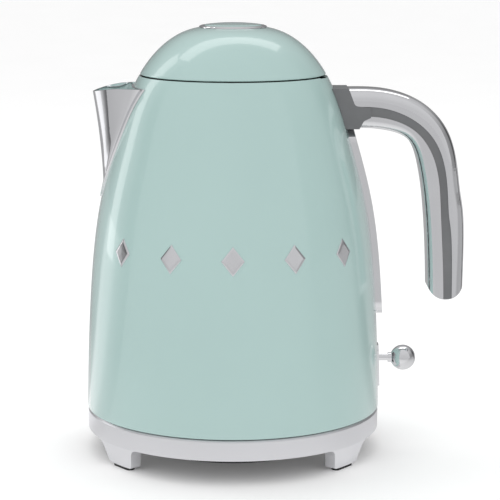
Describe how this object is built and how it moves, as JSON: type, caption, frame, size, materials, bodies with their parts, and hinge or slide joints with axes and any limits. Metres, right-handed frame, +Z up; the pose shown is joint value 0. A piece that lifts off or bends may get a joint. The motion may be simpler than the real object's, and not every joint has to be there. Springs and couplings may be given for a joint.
{
  "type": "electric jug kettle",
  "caption": "Domed electric jug kettle with beak spout, hook handle, ball lever switch and water window, lifting off a round powered base on feet.",
  "frame": {"origin": "centre of the four feet on the table, on the jug's axis", "axes": "+Z up along the jug axis, +X towards the handle, -X towards the spout"},
  "size_m": [0.2201, 0.1718, 0.2499],
  "materials": {
    "enamel": "gloss enamel paint, pale mint",
    "chrome": "polished chrome plate",
    "base_metal": "satin metallic silver",
    "grey_plastic": "matt dark grey moulding",
    "black_plastic": "matt black moulding",
    "steel": "brushed stainless steel",
    "aluminium": "plain aluminium",
    "brass": "plain brass",
    "rubber": "matt rubber",
    "silicone": "grey silicone",
    "smoked_lens": "clear smoked plastic"
  },
  "bodies": {
    "power_base": {"base_ring": "base_metal", "foot_pads": "rubber", "base_deck": "black_plastic", "underside_cover": "black_plastic", "cord_grommet": "rubber", "base_screws": "steel", "connector_post": "black_plastic", "connector_pin": "brass", "base_contacts": "brass"},
    "contact_collar": {"swivel_collar": "black_plastic"},
    "jug": {"lower_cover": "black_plastic", "cover_nuts": "steel", "plate_studs": "steel", "heater_plate": "steel", "plate_seal": "silicone", "heat_diffuser": "aluminium", "heating_element": "steel", "element_terminals": "steel", "control_housing": "black_plastic", "bimetal_discs": "brass", "connector_socket": "black_plastic", "contact_rings": "brass", "jug_shell": "enamel", "spout": "chrome", "filter_guides": "grey_plastic", "window_frame": "chrome", "window_lens": "smoked_lens", "window_gasket": "silicone", "handle_outer": "chrome", "handle_inner": "chrome", "handle_core": "grey_plastic", "handle_screws": "steel", "lever_plate": "chrome", "lever_pin": "steel", "trip_pin": "steel", "lever_bracket": "steel", "steam_tube": "steel", "mouth_collar": "black_plastic", "hinge_pin": "steel", "lid_damper": "black_plastic", "front_marks": "chrome"},
    "filter": {"filter_frame": "grey_plastic", "filter_mesh": "steel"},
    "lid": {"lid_shell": "enamel", "lid_liner": "steel", "lid_gasket": "silicone", "button_guide": "black_plastic", "lid_screws": "steel", "button_bezel": "chrome", "button_spring": "steel"},
    "button": {"lid_button": "enamel"},
    "latch": {"lid_latch": "black_plastic"},
    "lever": {"lever_stem": "chrome", "switch_knob": "chrome"},
    "trip": {"trip_arm": "black_plastic"}
  },
  "joints": [
    {"name": "jug_swivel", "type": "hinge", "parent": "power_base", "child": "contact_collar", "pos_m": [0, 0, 0.02], "axis": [0, 0, 1], "continuous": true},
    {"name": "jug_lift", "type": "slide", "parent": "contact_collar", "child": "jug", "axis": [0, 0, 1], "range_m": [0, 0.045]},
    {"name": "lid_hinge", "type": "hinge", "parent": "jug", "child": "lid", "pos_m": [0.0485, 0, 0.2208], "axis": [0, 1, 0], "range_deg": [0, 80]},
    {"name": "button_press", "type": "slide", "parent": "lid", "child": "button", "axis": [0, 0, -1], "range_m": [0, 0.003], "stiffness_N_per_m": 400, "springref_m": -0.001, "deforming": ["button_spring"]},
    {"name": "latch_slide", "type": "slide", "parent": "lid", "child": "latch", "axis": [1, 0, 0], "range_m": [0, 0.003]},
    {"name": "filter_unclip", "type": "slide", "parent": "jug", "child": "filter", "axis": [0.3107, 0, 0.9505], "range_m": [0, 0.0025]},
    {"name": "switch_lever", "type": "hinge", "parent": "jug", "child": "lever", "pos_m": [0.076, 0, 0.053], "axis": [0, 1, 0], "range_deg": [0, 17]},
    {"name": "trip_arm_turn", "type": "hinge", "parent": "jug", "child": "trip", "pos_m": [0.057, 0, 0.0586], "axis": [0, 1, 0], "range_deg": [-14, 0]}
  ],
  "couplings": [
    {"joint": "latch_slide", "follows": "button_press", "ratio": 1},
    {"joint": "trip_arm_turn", "follows": "switch_lever", "ratio": -0.7}
  ]
}
